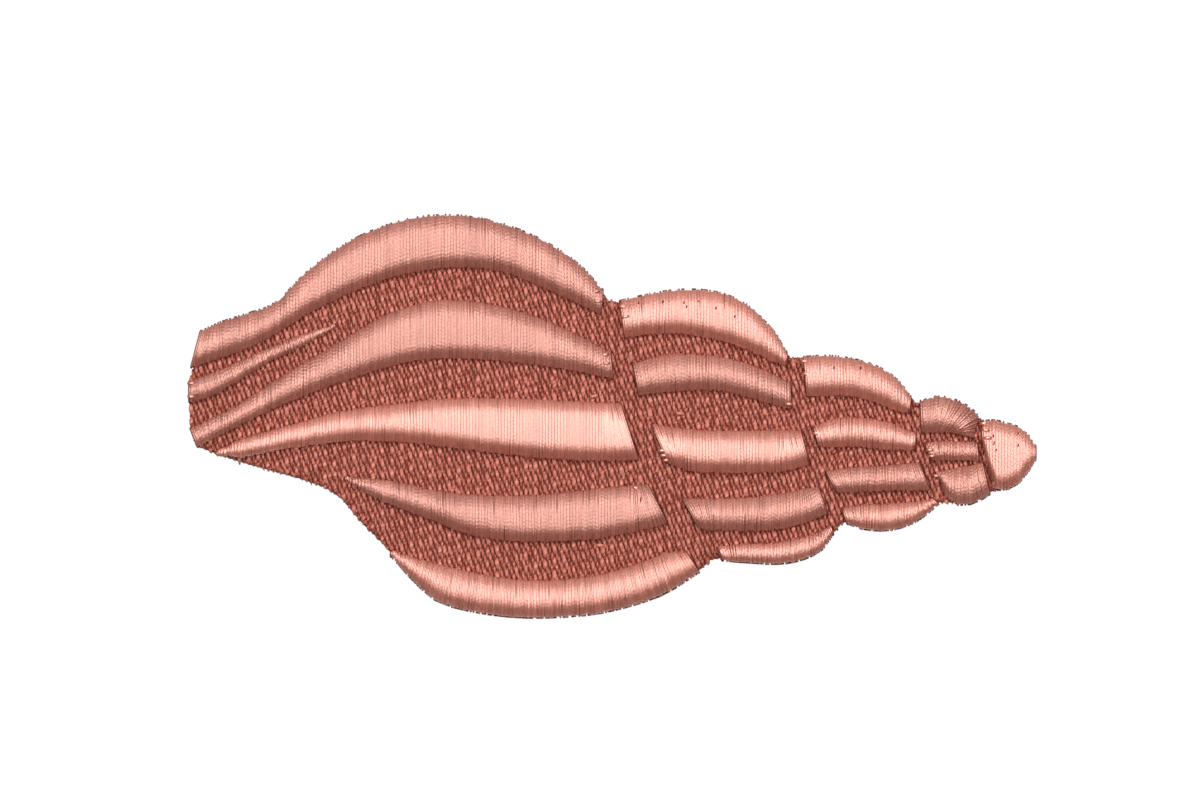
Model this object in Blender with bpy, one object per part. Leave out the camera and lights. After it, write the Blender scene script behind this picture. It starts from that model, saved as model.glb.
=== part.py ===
"""An embroidered spiral sea shell patch, lying flat with its stitching up.

A trimmed ground cloth carries one flat tatami fill, and nineteen padded satin pieces stand on the fill:
the spiral ribs of four whorls and the apex tip.

Metres, +Z up. The shell's axis runs along X, with the siphon end at -X and the apex at +X. The origin is
on the resting plane, under the middle of the patch. Plan points are in millimetres on that frame.
"""

import math

import bmesh
import bpy
import numpy as np

MM = 0.001

# Heights of the layers above the resting plane, in millimetres
CLOTH_THICKNESS = 0.7
LAYER_GAP = 0.3
FILL_THICKNESS = 0.55
FILL_BOTTOM = CLOTH_THICKNESS + LAYER_GAP
FILL_TOP = FILL_BOTTOM + FILL_THICKNESS
RIB_BOTTOM = FILL_TOP + LAYER_GAP

# Plan insets from the stitched outline, in millimetres
CLOTH_INSET = 0.45
COVERED_INSET = 0.3
FILL_EDGE_ROUND = 0.18

# The satin dome: a low upright edge at each rail, then a crown that grows with the width of the rib
RIB_EDGE = 0.25
CROWN_SHARE = 0.27
CROWN_MAX = 1.55
DOME_POWER = 2.5
DOME_FACETS = 8

# Stations along a rib, in millimetres: a long rib's are widest apart, a short curved one's are close
WIDEST_SPACING = 2.7
CLOSEST_SPACING = 1.5
STATIONS_PER_RIB = 15
END_ROUND = 0.8
END_STATIONS = (0.0, 0.3)
END_HEIGHT_SHARE = 0.45
SAMPLES_PER_SPAN = 12

# Each satin piece is a list of stitch lines, from the siphon end towards the apex. A stitch line runs
# from its end on the crest side (+Y) to its end on the base side (-Y).
STITCH_LINES = {
    "body_crest_rib": [
        ((-61.6, 12.7), (-63.0, 7.4)), ((-58.5, 14.1), (-58.5, 8.8)), ((-55.0, 15.2), (-54.3, 10.3)),
        ((-50.5, 16.8), (-49.4, 13.0)), ((-48.3, 19.1), (-46.4, 15.0)), ((-45.0, 22.2), (-42.3, 17.1)),
        ((-39.3, 26.2), (-37.4, 19.3)), ((-31.8, 29.2), (-30.9, 21.4)), ((-24.3, 30.1), (-23.8, 22.3)),
        ((-16.8, 28.9), (-16.8, 21.8)), ((-10.0, 26.1), (-10.8, 19.5)), ((-4.8, 22.6), (-5.8, 17.2)),
        ((-1.5, 18.9), (-1.8, 15.4)),
    ],
    "siphon_rib": [
        ((-63.3, 5.1), (-63.3, 2.2)), ((-60.3, 6.3), (-60.0, 3.1)), ((-56.7, 7.8), (-55.9, 5.4)),
        ((-51.9, 10.0), (-51.3, 8.2)), ((-46.8, 12.1), (-46.4, 10.5)), ((-41.5, 13.8), (-41.4, 13.4)),
    ],
    "body_shoulder_rib": [
        ((-63.1, -1.9), (-62.1, -4.5)), ((-60.0, -0.3), (-58.5, -2.7)), ((-55.8, 1.8), (-53.9, -0.4)),
        ((-49.5, 6.0), (-47.9, 2.4)), ((-42.6, 10.0), (-40.8, 5.1)), ((-35.2, 14.5), (-34.0, 7.3)),
        ((-28.8, 16.9), (-28.5, 8.5)), ((-22.8, 17.4), (-22.8, 8.7)), ((-15.3, 16.1), (-15.6, 8.2)),
        ((-7.8, 13.4), (-8.4, 7.3)), ((-0.4, 9.6), (0.0, 5.7)),
    ],
    "body_middle_rib": [
        ((-59.4, -5.4), (-59.1, -5.8)), ((-55.5, -3.4), (-55.0, -6.1)), ((-51.0, -2.2), (-50.5, -5.1)),
        ((-45.0, -0.4), (-44.7, -4.3)), ((-39.3, 0.9), (-39.0, -3.7)), ((-31.8, 1.8), (-31.5, -3.9)),
        ((-24.3, 2.6), (-24.0, -4.7)), ((-15.3, 2.6), (-15.0, -5.8)), ((-6.3, 2.2), (-5.4, -6.6)),
        ((1.1, 1.9), (3.8, -6.6)),
    ],
    "body_lower_rib": [
        ((-39.9, -9.2), (-39.9, -9.6)), ((-36.3, -9.4), (-36.6, -11.7)), ((-31.8, -10.0), (-32.1, -13.7)),
        ((-27.3, -11.1), (-27.4, -15.4)), ((-22.5, -11.7), (-22.6, -17.4)), ((-16.8, -12.0), (-16.8, -18.6)),
        ((-10.0, -11.8), (-10.0, -18.8)), ((-1.8, -10.9), (-1.6, -18.3)), ((5.2, -10.3), (8.2, -16.2)),
    ],
    "body_base_rib": [
        ((-33.0, -20.2), (-33.1, -21.0)), ((-28.6, -21.6), (-29.8, -24.6)), ((-24.3, -22.7), (-26.4, -27.6)),
        ((-19.5, -23.8), (-21.3, -29.2)), ((-13.8, -24.6), (-14.5, -30.1)), ((-7.8, -24.6), (-8.1, -30.1)),
        ((-1.8, -23.8), (-1.2, -29.4)), ((4.2, -22.1), (6.0, -27.4)), ((8.4, -20.4), (10.0, -25.4)),
        ((10.9, -20.4), (12.9, -23.4)),
    ],
    "second_crest_rib": [
        ((1.3, 17.2), (2.1, 11.7)), ((5.0, 18.1), (5.4, 12.3)), ((10.2, 18.9), (10.2, 12.4)),
        ((15.4, 18.6), (14.8, 11.7)), ((19.5, 17.1), (18.6, 10.6)), ((22.6, 14.5), (21.8, 9.3)),
        ((24.8, 12.0), (24.1, 8.2)), ((26.1, 9.6), (26.1, 7.5)),
    ],
    "second_shoulder_rib": [
        ((3.3, 7.9), (4.2, 3.1)), ((7.2, 9.0), (7.8, 3.6)), ((11.7, 9.3), (12.2, 3.9)),
        ((16.5, 8.8), (16.5, 3.8)), ((20.7, 7.7), (20.2, 2.9)), ((24.0, 6.3), (23.6, 1.9)),
        ((26.6, 5.0), (26.7, 1.1)),
    ],
    "second_middle_rib": [
        ((6.0, -1.2), (8.5, -7.0)), ((10.2, -1.9), (11.7, -8.1)), ((14.7, -2.2), (15.4, -8.5)),
        ((20.7, -2.2), (21.0, -8.5)), ((25.2, -2.2), (25.8, -8.2)), ((28.1, -2.1), (29.5, -7.3)),
    ],
    "second_lower_rib": [
        ((10.7, -12.4), (13.2, -16.8)), ((14.7, -12.4), (16.1, -17.1)), ((19.9, -12.3), (20.6, -17.2)),
        ((25.2, -11.7), (25.6, -16.9)), ((28.2, -11.1), (29.1, -15.9)), ((30.8, -10.7), (32.2, -14.7)),
    ],
    "second_base_rib": [
        ((15.8, -19.6), (16.6, -21.6)), ((19.9, -19.2), (20.4, -21.9)), ((24.4, -19.1), (25.2, -22.1)),
        ((28.2, -18.3), (28.8, -21.4)), ((30.9, -17.6), (31.6, -19.9)), ((32.7, -16.5), (33.1, -17.7)),
    ],
    "third_crest_rib": [
        ((28.9, 8.8), (29.4, 3.0)), ((32.1, 9.0), (32.2, 3.1)), ((35.7, 8.6), (35.5, 3.1)),
        ((39.3, 7.6), (38.4, 2.5)), ((42.0, 6.1), (40.6, 1.6)), ((43.8, 4.3), (42.8, 0.8)),
        ((44.7, 2.9), (44.5, 0.4)),
    ],
    "third_shoulder_rib": [
        ((30.3, -1.6), (31.2, -4.5)), ((33.4, -0.4), (33.8, -4.6)), ((37.2, -0.3), (37.4, -4.6)),
        ((40.9, -0.8), (40.8, -5.0)), ((43.5, -1.8), (43.4, -5.1)), ((45.4, -2.5), (45.3, -5.1)),
    ],
    "third_lower_rib": [
        ((32.2, -8.2), (33.8, -11.4)), ((36.4, -7.7), (37.0, -11.4)), ((40.9, -7.5), (41.5, -11.2)),
        ((43.9, -7.2), (45.1, -11.1)), ((45.9, -7.0), (47.5, -11.1)),
    ],
    "third_base_rib": [
        ((34.6, -13.8), (35.4, -16.1)), ((37.5, -13.3), (37.8, -16.9)), ((40.9, -13.3), (41.2, -17.1)),
        ((43.9, -13.0), (44.5, -16.3)), ((46.2, -12.8), (46.9, -14.9)), ((47.9, -12.4), (48.8, -13.2)),
    ],
    "fourth_crest_rib": [
        ((46.4, 2.2), (46.6, -2.5)), ((48.9, 2.9), (48.9, -2.4)), ((51.1, 2.5), (50.7, -2.4)),
        ((53.1, 1.6), (52.4, -2.5)), ((54.3, 0.7), (53.4, -2.9)), ((54.9, -0.1), (54.3, -3.3)),
    ],
    "fourth_middle_rib": [
        ((47.1, -4.0), (48.0, -6.6)), ((49.9, -3.8), (50.4, -6.6)), ((52.6, -3.8), (52.9, -6.6)),
        ((54.6, -4.0), (54.9, -6.8)),
    ],
    "fourth_base_rib": [
        ((48.6, -8.4), (48.9, -8.8)), ((50.1, -8.1), (49.9, -10.7)), ((51.6, -7.8), (51.0, -13.0)),
        ((53.4, -7.5), (53.4, -13.2)), ((54.4, -7.3), (55.2, -12.6)), ((55.4, -7.0), (56.5, -11.7)),
    ],
    "apex_tip": [
        ((55.7, -0.9), (55.6, -4.0)), ((56.7, -0.7), (56.4, -7.3)), ((58.0, -0.8), (57.9, -11.2)),
        ((59.7, -1.3), (59.7, -10.7)), ((61.2, -1.8), (61.3, -9.8)), ((62.5, -3.0), (62.7, -7.9)),
        ((63.4, -4.6), (63.4, -6.5)),
    ],
}

# Where the fill itself is the edge of the patch: the siphon end and lower left side, and the notches
# between whorls, base side first and then crest side
SIPHON_EDGE = [
    (-63.0, 6.6), (-63.2, 5.4), (-63.4, 3.0), (-63.4, 1.2), (-63.2, -1.3), (-62.7, -3.4), (-62.1, -4.6),
    (-59.8, -5.5), (-56.1, -6.8), (-52.6, -7.8), (-46.8, -9.4), (-42.9, -10.8), (-40.6, -12.4),
    (-37.5, -16.1), (-35.1, -18.4), (-33.3, -20.4),
]
BASE_NOTCHES = [
    [(13.3, -23.0), (14.2, -22.2), (14.8, -21.6), (15.9, -21.4)],
    [(33.6, -17.2), (34.2, -16.3), (34.8, -16.0)],
    [(49.6, -13.0)],
    [(57.2, -11.3)],
]
CREST_NOTCHES = [
    [(55.4, -0.4)],
    [(46.0, 1.9), (45.3, 2.1), (45.0, 2.7)],
    [(27.9, 8.8), (26.8, 8.7), (26.4, 9.2)],
    [(0.3, 17.2), (-0.6, 17.3), (-1.1, 18.2)],
]
BASE_SIDE_RIBS = ["body_base_rib", "second_base_rib", "third_base_rib", "fourth_base_rib"]
CREST_SIDE_RIBS = ["fourth_crest_rib", "third_crest_rib", "second_crest_rib", "body_crest_rib"]

# The X at which a base rail that starts inside the patch reaches its edge
RAIL_REACHES_EDGE = {"fourth_base_rib": 50.9, "apex_tip": 57.8}

CLOTH_COLOUR = (0.86, 0.85, 0.83, 1.0)
FILL_COLOUR = (0.40, 0.10, 0.065, 1.0)
SATIN_COLOUR = (0.80, 0.36, 0.27, 1.0)


def clear_scene():
    for obj in list(bpy.data.objects):
        bpy.data.objects.remove(obj, do_unlink=True)


def thread_material(name, colour, roughness):
    material = bpy.data.materials.new(name)
    material.use_nodes = True
    shader = material.node_tree.nodes["Principled BSDF"]
    shader.inputs["Base Color"].default_value = colour
    shader.inputs["Roughness"].default_value = roughness
    shader.inputs["Metallic"].default_value = 0.0
    return material


def smooth_through(knots):
    """A Catmull-Rom curve through the knots, whatever their number of columns."""
    ends = np.vstack([2 * knots[0] - knots[1], knots, 2 * knots[-1] - knots[-2]])
    points = []
    for before, start, end, after in zip(ends, ends[1:], ends[2:], ends[3:]):
        for t in np.linspace(0.0, 1.0, SAMPLES_PER_SPAN, endpoint=False):
            points.append(0.5 * (
                2 * start + (end - before) * t
                + (2 * before - 5 * start + 4 * end - after) * t ** 2
                + (3 * start - before - 3 * end + after) * t ** 3
            ))
    points.append(knots[-1])
    return np.array(points)


def station_distances(length):
    """Places along a rib: close together where its ends round down, and evenly spaced between."""
    spacing = min(max(length / STATIONS_PER_RIB, CLOSEST_SPACING), WIDEST_SPACING)
    count = round((length - 2 * END_ROUND) / spacing) + 1
    middle = np.linspace(END_ROUND, length - END_ROUND, count)
    return np.concatenate([END_STATIONS, middle, [length - d for d in reversed(END_STATIONS)]])


def stations(name):
    """The rib's stitch lines at its stations, each as (crest x, crest y, base x, base y), with the
    distance of each along the rib's middle."""
    knots = np.array([crest + base for crest, base in STITCH_LINES[name]])
    curve = smooth_through(knots)
    middle = (curve[:, :2] + curve[:, 2:]) / 2
    along = np.concatenate([[0.0], np.cumsum(np.linalg.norm(np.diff(middle, axis=0), axis=1))])
    wanted = station_distances(along[-1])
    lines = np.column_stack([np.interp(wanted, along, curve[:, column]) for column in range(4)])
    return lines, wanted


def end_height_share(distance, length):
    """How much of the full crown is left this far along: the blunt ends round down in a quarter ellipse."""
    to_end = min(distance, length - distance)
    if to_end >= END_ROUND:
        return 1.0
    rise = math.sqrt(1.0 - (1.0 - to_end / END_ROUND) ** 2)
    return END_HEIGHT_SHARE + (1.0 - END_HEIGHT_SHARE) * rise


def rib_section(line, height_share):
    """One closed cross-section: the flat underside's two corners and the superellipse dome over them."""
    crest, base = line[:2], line[2:]
    width = np.linalg.norm(crest - base)
    crown = min(CROWN_SHARE * width, CROWN_MAX) * height_share
    edge_top = RIB_BOTTOM + RIB_EDGE * height_share
    section = [(*crest, RIB_BOTTOM)]
    for facet in range(DOME_FACETS + 1):
        angle = math.pi * facet / DOME_FACETS
        across = math.copysign(abs(math.cos(angle)) ** (2 / DOME_POWER), math.cos(angle))
        rise = abs(math.sin(angle)) ** (2 / DOME_POWER)
        x, y = base + (crest - base) * (1 + across) / 2
        section.append((x, y, edge_top + crown * rise))
    section.append((*base, RIB_BOTTOM))
    return section


def object_from_rings(name, rings, material):
    """A closed body from rings of equal length, with a face over the first ring and over the last."""
    mesh = bmesh.new()
    loops = [[mesh.verts.new(np.array(point) * MM) for point in ring] for ring in rings]
    for lower, upper in zip(loops, loops[1:]):
        for a, b, c, d in zip(lower, lower[1:] + lower[:1], upper[1:] + upper[:1], upper):
            mesh.faces.new((a, b, c, d))
    mesh.faces.new(loops[0][::-1])
    mesh.faces.new(loops[-1])
    bmesh.ops.recalc_face_normals(mesh, faces=mesh.faces)
    data = bpy.data.meshes.new(name)
    mesh.to_mesh(data)
    mesh.free()
    data.shade_smooth()
    data.set_sharp_from_angle(angle=math.radians(50))
    data.materials.append(material)
    obj = bpy.data.objects.new(name, data)
    bpy.context.scene.collection.objects.link(obj)
    return obj


def satin_rib(name, material):
    lines, distances = stations(name)
    rings = [
        rib_section(line, end_height_share(distance, distances[-1]))
        for line, distance in zip(lines, distances)
    ]
    return object_from_rings(name, rings, material)


def crest_rail(name):
    return [tuple(line[:2]) for line in stations(name)[0]]


def base_rail(name):
    return [tuple(line[2:]) for line in stations(name)[0]]


def outer_base_rail(name):
    """The stretch of a rib's base rail that is the edge of the patch."""
    from_x = RAIL_REACHES_EDGE.get(name, -math.inf)
    return [point for point in base_rail(name) if point[0] > from_x]


def stitched_outline():
    """The patch's plan outline, anticlockwise from the siphon end, and the fill's inset at each point:
    none where the fill is the edge, and a little where a satin rib covers its edge."""
    covered = [COVERED_INSET]
    outline = list(SIPHON_EDGE)
    insets = [0.0] * len(SIPHON_EDGE)
    runs = []
    for rib, notch in zip(BASE_SIDE_RIBS, BASE_NOTCHES):
        runs += [(outer_base_rail(rib), covered), (notch, [0.0])]
    runs.append((outer_base_rail("apex_tip") + crest_rail("apex_tip")[::-1], covered))
    for notch, rib in zip(CREST_NOTCHES, CREST_SIDE_RIBS):
        runs += [(notch, [0.0]), (crest_rail(rib)[::-1], covered)]
    runs.append(([tuple(STITCH_LINES["body_crest_rib"][0][1])], covered))
    for points, inset in runs:
        outline += points
        insets += inset * len(points)
    return np.array(outline), np.array(insets)


def moved_in(outline, insets):
    """The outline with each point moved inwards by its own inset, along the mean of its sides' normals."""
    before = outline - np.roll(outline, 1, axis=0)
    after = np.roll(outline, -1, axis=0) - outline
    sides = [side / np.linalg.norm(side, axis=1)[:, None] for side in (before, after)]
    tangent = sides[0] + sides[1]
    tangent /= np.linalg.norm(tangent, axis=1)[:, None]
    inward = np.column_stack([-tangent[:, 1], tangent[:, 0]])
    return outline + inward * insets[:, None]


def plate(name, levels, material):
    """A flat layer from (plan points, height) levels, lowest first."""
    rings = [[(x, y, height) for x, y in outline] for outline, height in levels]
    return object_from_rings(name, rings, material)


def ground_cloth(outline, material):
    edge = moved_in(outline, np.full(len(outline), CLOTH_INSET))
    return plate("ground_cloth", [(edge, 0.0), (edge, CLOTH_THICKNESS)], material)


def tatami_fill(outline, insets, material):
    edge = moved_in(outline, insets)
    top = moved_in(outline, insets + FILL_EDGE_ROUND)
    levels = [(edge, FILL_BOTTOM), (edge, FILL_TOP - FILL_EDGE_ROUND), (top, FILL_TOP)]
    return plate("tatami_fill", levels, material)


def build():
    clear_scene()
    cloth = thread_material("ground_cloth", CLOTH_COLOUR, 0.9)
    fill = thread_material("fill_thread", FILL_COLOUR, 0.5)
    satin = thread_material("satin_thread", SATIN_COLOUR, 0.38)
    outline, insets = stitched_outline()
    ground_cloth(outline, cloth)
    tatami_fill(outline, insets, fill)
    for name in STITCH_LINES:
        satin_rib(name, satin)


build()
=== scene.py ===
"""The looks of an embroidered spiral sea shell patch: salmon satin ribs on a terracotta fill.

Every satin rib is its own passes of thread over a padded core, the tatami fill is its rows of short
stitches, and the ground cloth is a plain weave with the white lower thread on its back.

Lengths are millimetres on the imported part's frame, unless a name or comment says otherwise. The siphon end
is towards -X, the apex towards +X, and a rib's crest side is towards +Y and its base side towards -Y.
"""

import math

import bmesh
import bpy
import numpy as np
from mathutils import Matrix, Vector
from mathutils.bvhtree import BVHTree

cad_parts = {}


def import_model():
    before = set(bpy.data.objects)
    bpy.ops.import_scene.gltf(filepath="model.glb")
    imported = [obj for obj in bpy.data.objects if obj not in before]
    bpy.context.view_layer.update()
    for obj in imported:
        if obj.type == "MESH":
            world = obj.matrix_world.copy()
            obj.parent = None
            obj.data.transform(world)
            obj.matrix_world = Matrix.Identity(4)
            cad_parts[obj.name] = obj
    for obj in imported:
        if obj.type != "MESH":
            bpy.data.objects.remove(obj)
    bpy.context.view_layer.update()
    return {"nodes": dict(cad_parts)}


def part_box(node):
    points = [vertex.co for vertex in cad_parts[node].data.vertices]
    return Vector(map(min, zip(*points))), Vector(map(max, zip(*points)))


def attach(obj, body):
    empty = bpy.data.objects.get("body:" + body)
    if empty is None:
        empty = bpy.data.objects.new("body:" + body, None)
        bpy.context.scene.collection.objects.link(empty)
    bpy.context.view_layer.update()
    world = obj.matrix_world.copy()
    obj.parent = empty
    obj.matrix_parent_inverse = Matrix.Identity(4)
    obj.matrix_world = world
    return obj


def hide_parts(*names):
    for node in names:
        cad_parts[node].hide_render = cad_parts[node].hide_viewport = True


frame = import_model()

MM = 0.001
RNG = np.random.default_rng(7)

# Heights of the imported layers, and those at which the sides of the fill and of the ribs are found
CLOTH_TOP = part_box("ground_cloth")[1].z / MM
FILL_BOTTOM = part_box("tatami_fill")[0].z / MM
FILL_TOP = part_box("tatami_fill")[1].z / MM
RIB_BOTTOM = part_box("body_middle_rib")[0].z / MM
FILL_LEVEL = (FILL_BOTTOM + FILL_TOP) / 2 - 0.1
RIB_LEVEL = RIB_BOTTOM + 0.05

# The satin over a rib stands up at its rails, then rounds over a shoulder to a crown that rises a little
# towards the base side. Each shoulder is distances from its own rail and the rise there, and a rib narrower
# than both shoulders has them in proportion
RIB_EDGE = 0.65
EDGE_FULL_WIDTH = 2.5
CREST_SHOULDER = np.array([
    (0.0, 0.0), (0.1, 0.07), (0.6, 0.37), (1.1, 0.63), (1.6, 0.84), (2.1, 0.99), (2.7, 1.09),
])
BASE_SHOULDER = np.array([
    (0.0, 0.0), (0.1, 0.08), (0.5, 0.38), (0.9, 0.64), (1.25, 0.80), (1.6, 0.895), (1.95, 0.94), (2.4, 0.96),
])
CROWN_TILT = 0.05
FULL_WIDTH = 5.1

# How far from a rib's end its crown starts to fall, and to what share
END_ROUND = 0.3
END_HEIGHT_SHARE = 0.85

# Satin stitching: each pitch of the zigzag is two passes, a little closer to each other than to the next,
# and every second pass ends a little further out
ZIGZAG_PITCH = 0.44
PASS_PITCH = ZIGZAG_PITCH / 2
LEAST_PASSES = 5
PAIRING = 0.12
SATIN_HALF_WIDTH = 0.19
SATIN_HALF_HEIGHT = 0.09
RAIL_INSET = 0.05
INSET_MOST_SHARE = 0.25
NEEDLE_STAGGER = 0.05
NEEDLE_JITTER = 0.07
SHOULDER_JITTER = 0.12
PASS_HEIGHT_JITTER = 0.007

# How far from its end a rib's passes start to turn towards the end cut: a length, or a share of a short rib
FAN_LENGTH = 4.0
FAN_MOST_SHARE = 0.35

# Depth of the needle holes in the fill, and in the cloth where the rail is the patch's own edge. A rail is
# that where no fill lies this far outside it
HOLE_IN_FILL = 0.3
HOLE_IN_CLOTH = 0.2
EDGE_PROBE = 0.6

# The padded core under the satin: how far in it lies at the rails, how far below the threads, the spacing of
# its sections, the places across each, its least height, and how deep it stands in the fill
CORE_INSET = 0.12
CORE_DEPTH = 0.25
CORE_SPACING = 1.2
CORE_PLACES = 9
CORE_LEAST_HEIGHT = 0.02
CORE_FOOT = 0.2

# Passes that close a rib's end, dark as painted shade at the cut: how far out they lie, their shares of the
# last pass's height, and the pass, counted from the end, that gives the direction outwards
END_WALL_OUT = 0.11
END_WALL = [0.15, 0.4, 0.65, 0.9]
END_WALL_FROM = 3

# Tatami stitching: upright rows, each row's needle holes lower than those of the row before it, and every
# fourth row proud of the others and painted paler, as painted highlight. Every second row starts and ends
# further in
ROW_PITCH = 0.3585
STITCH_LENGTH = 1.89
LEAST_STITCH = 0.45
LEAST_ROW = 0.6
ROW_SHIFT = 0.8595
FILL_HALF_HEIGHT = 0.15
PROUD_ROW_EVERY = 4
PROUD_BY = 0.2
PROUD_WIDER = 0.45
PROUD_PAINTED_HIGHLIGHT = 0.65
FILL_LEAN = 0.24
FILL_INSET = -0.08
FILL_STAGGER = 0.24
FILL_NEEDLE_JITTER = 0.12
FILL_HEIGHT_JITTER = 0.045
FILL_SIDE_JITTER = 0.04
FILL_WIDTH_SPREAD = 0.14

# A fill stitch from its lower needle hole to its upper one: place, height over the fill and half width
FILL_ARCH = np.array([
    (0.0, -0.60, 0.10), (0.16, -0.28, 0.14), (0.34, 0.12, 0.205),
    (0.62, 0.15, 0.215), (0.82, -0.18, 0.15), (1.0, -0.60, 0.10),
])

# A fill stitch is left out where a rib lies over it at all of these shares of its length
HIDDEN_AT = (-0.1, 0.5, 1.1)

# Lines across the shell, as their upper and lower ends, at which the fill passes from whorl to whorl
WHORL_SEAMS = [((0.3, 17.0), (13.5, -22.0)), ((27.5, 8.8), (34.0, -16.5))]
WHORL_FILLS = ["body_fill_rows", "second_fill_rows", "spire_fill_rows"]

# The dark bed under the fill stitches: its height over the cloth, and its share of the fill's thickness
# The underlay is painted dark, as shade in the gaps between the fill stitches
UNDERLAY_LIFT = 0.05
UNDERLAY_SHARE = 0.7

# White lower thread under the cloth: shares of a satin pass at which it comes out, runs and goes in again,
# its heights, and how far it rises into the cloth at a needle hole
BOBBIN_HALF_HEIGHT = 0.06
BOBBIN_HALF_WIDTH = 0.17
SATIN_BOBBIN_ALONG = np.array([0.14, 0.3, 0.7, 0.86])
SATIN_BOBBIN_HEIGHT = 0.08
SATIN_BOBBIN_RISE = np.array([0.2, 0.0, 0.0, 0.2])
FILL_BOBBIN_HEIGHT = 0.20
FILL_BOBBIN_RISE = 0.08

# The weave of the cloth
CLOTH_BACK = 0.36
YARN_PITCH = 0.7
YARN_RELIEF = 0.07
CLOTH_SHARP_DEGREES = 60

# X of each rib's end cuts: the crest and base corners at the siphon end, then those at the apex end
END_CUTS = {
    "body_crest_rib": ((-61.6, -63.0), (-1.5, -1.8)),
    "siphon_rib": ((-63.3, -63.3), (-41.5, -41.4)),
    "body_shoulder_rib": ((-63.1, -62.1), (-0.4, 0.0)),
    "body_middle_rib": ((-59.4, -59.1), (1.1, 3.8)),
    "body_lower_rib": ((-39.9, -39.9), (5.2, 8.2)),
    "body_base_rib": ((-33.0, -33.1), (10.9, 12.9)),
    "second_crest_rib": ((1.3, 2.1), (26.1, 26.1)),
    "second_shoulder_rib": ((3.3, 4.2), (26.6, 26.7)),
    "second_middle_rib": ((6.0, 8.5), (28.1, 29.5)),
    "second_lower_rib": ((10.7, 13.2), (30.8, 32.2)),
    "second_base_rib": ((15.8, 16.6), (32.7, 33.1)),
    "third_crest_rib": ((28.9, 29.4), (44.7, 44.5)),
    "third_shoulder_rib": ((30.3, 31.2), (45.4, 45.3)),
    "third_lower_rib": ((32.2, 33.8), (45.9, 47.5)),
    "third_base_rib": ((34.6, 35.4), (47.9, 48.8)),
    "fourth_crest_rib": ((46.4, 46.6), (54.9, 54.3)),
    "fourth_middle_rib": ((47.1, 48.0), (54.6, 54.9)),
    "fourth_base_rib": ((48.6, 48.9), (55.4, 56.5)),
    "apex_tip": ((55.7, 55.6), (63.4, 63.4)),
}

# Lean of the stitches along a rib where they are not upright, as (X, degrees) with the base end towards +X
LEANS = {
    "siphon_rib": ((-63.3, 12.0), (-41.5, 12.0)),
    "body_base_rib": ((-31.0, -14.0), (-18.0, -3.0), (-6.0, 0.0), (8.0, 16.0)),
    "fourth_crest_rib": ((47.0, 0.0), (49.0, -8.0), (51.0, -30.0)),
}

# X on its base rail about which a rib's last stitches turn, down to the base corner of its apex end, and how
# far from that end its crown starts to fall and to what share
FAN_PIVOTS = {"fourth_crest_rib": 51.2}
FAN_ROUND = 1.5
FAN_HEIGHT_SHARE = 0.4

# Ribs of a glossier thread, whose crowns catch the light as one bright band, and how glossy it is
# The same value also lightens a rib's base colour, as painted highlight
PLAIN_GLOSS_AND_PAINTED_HIGHLIGHT = 0.1
GLOSS_AND_PAINTED_HIGHLIGHT = {
    "body_middle_rib": 0.6, "body_base_rib": 0.5, "second_crest_rib": 0.55, "second_middle_rib": 0.55,
    "second_base_rib": 0.4, "third_crest_rib": 0.5, "third_shoulder_rib": 0.55, "third_base_rib": 0.4,
    "apex_tip": 0.6,
}

# A short stitch that lies over others: shares of its length, and the height of its arch there
ARCH_ALONG = np.array([-0.5, -0.42, -0.15, 0.15, 0.42, 0.5])
ARCH_RISE = np.array([-0.35, 0.0, 0.1, 0.1, 0.0, -0.35])
ARCH_TURN_SPREAD = 8.0

# Where a rib's thread is locked off: a short stitch lies over the end of the rib at each place
TIE_OFFS = {
    "body_crest_rib": [(-2.4, 18.7), (-2.2, 17.2)],
    "body_shoulder_rib": [(-1.1, 9.2), (-0.9, 7.9)],
    "siphon_rib": [(-63.1, 4.9), (-63.1, 2.9)],
    "body_lower_rib": [(3.6, -10.8)],
    "second_crest_rib": [(1.7, 16.4), (2.0, 14.9)],
    "second_shoulder_rib": [(26.5, 1.8)],
    "second_middle_rib": [(7.5, -5.2), (7.8, -5.9), (8.2, -6.6)],
    "third_crest_rib": [(28.9, 8.2), (29.2, 6.3)],
    "third_shoulder_rib": [(30.7, -2.6)],
    "fourth_middle_rib": [(47.7, -5.1), (48.0, -6.0)],
    "fourth_base_rib": [(48.7, -9.0)],
    "apex_tip": [(55.8, -1.1), (56.1, -2.1), (56.4, -3.3)],
}
TIE_OFF_LENGTH = 1.15
TIE_OFF_HALF_WIDTH = 0.23
TIE_OFF_TONE = 0.9

# Single stitches that lie along the shell's axis over the fill
FILL_TIES = np.array([(-2.7, 3.0), (10.2, 0.4), (-1.8, -19.4)])
FILL_TIE_LIFT = 0.22

# Thin dark thread ends that stand on a rib: X, Y and length of each
DARK_ENDS = {
    "body_lower_rib": [(4.3, -12.6, 0.9)],
    "second_crest_rib": [
        (4.0, 17.0, 0.3), (7.6, 17.1, 0.5), (10.8, 17.0, 0.3), (11.2, 16.4, 0.3),
        (13.0, 17.2, 0.3), (15.6, 16.2, 0.3), (18.4, 14.9, 0.4),
    ],
    "third_crest_rib": [(33.3, 7.2, 0.4), (37.3, 7.2, 0.4)],
    "apex_tip": [
        (57.2, -3.0, 0.4), (57.3, -4.1, 0.6), (57.6, -5.1, 0.3), (60.9, -2.6, 0.3), (60.9, -4.4, 0.4),
    ],
}
DARK_END_HALF_WIDTH = 0.1
DARK_END_HEADING = 75.0

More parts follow.
